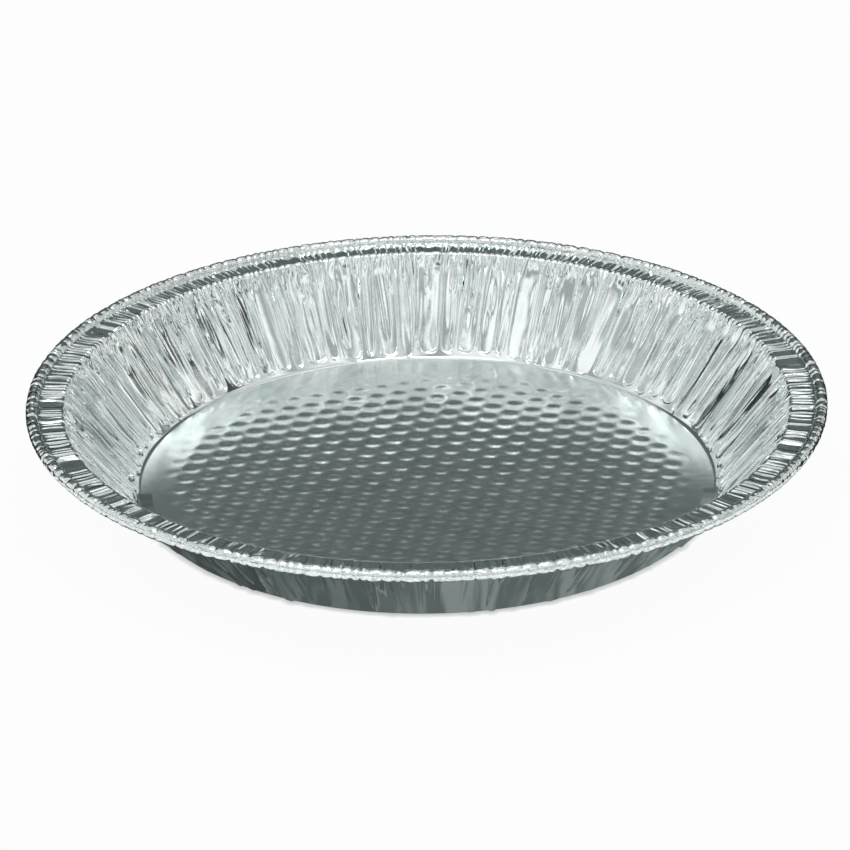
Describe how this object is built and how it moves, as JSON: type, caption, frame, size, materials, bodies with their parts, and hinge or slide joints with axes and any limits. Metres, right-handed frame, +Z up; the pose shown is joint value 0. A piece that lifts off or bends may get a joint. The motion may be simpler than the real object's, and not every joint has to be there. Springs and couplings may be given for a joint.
{
  "type": "foil pie tin",
  "caption": "Round pressed foil pie tin with a pleated sloping wall, a folded flange, a rolled bead rim and an embossed dimpled bottom.",
  "frame": {"origin": "centre of the flat bottom, on the plane it rests on", "axes": "+Z up along the axis of the tin; +X to the right and -Y to the front in the picture"},
  "size_m": [0.2434, 0.243, 0.0303],
  "materials": {
    "foil": "bright rolled foil, creased and dimpled"
  },
  "bodies": {
    "root": {"pie_tin": "foil"}
  },
  "joints": []
}
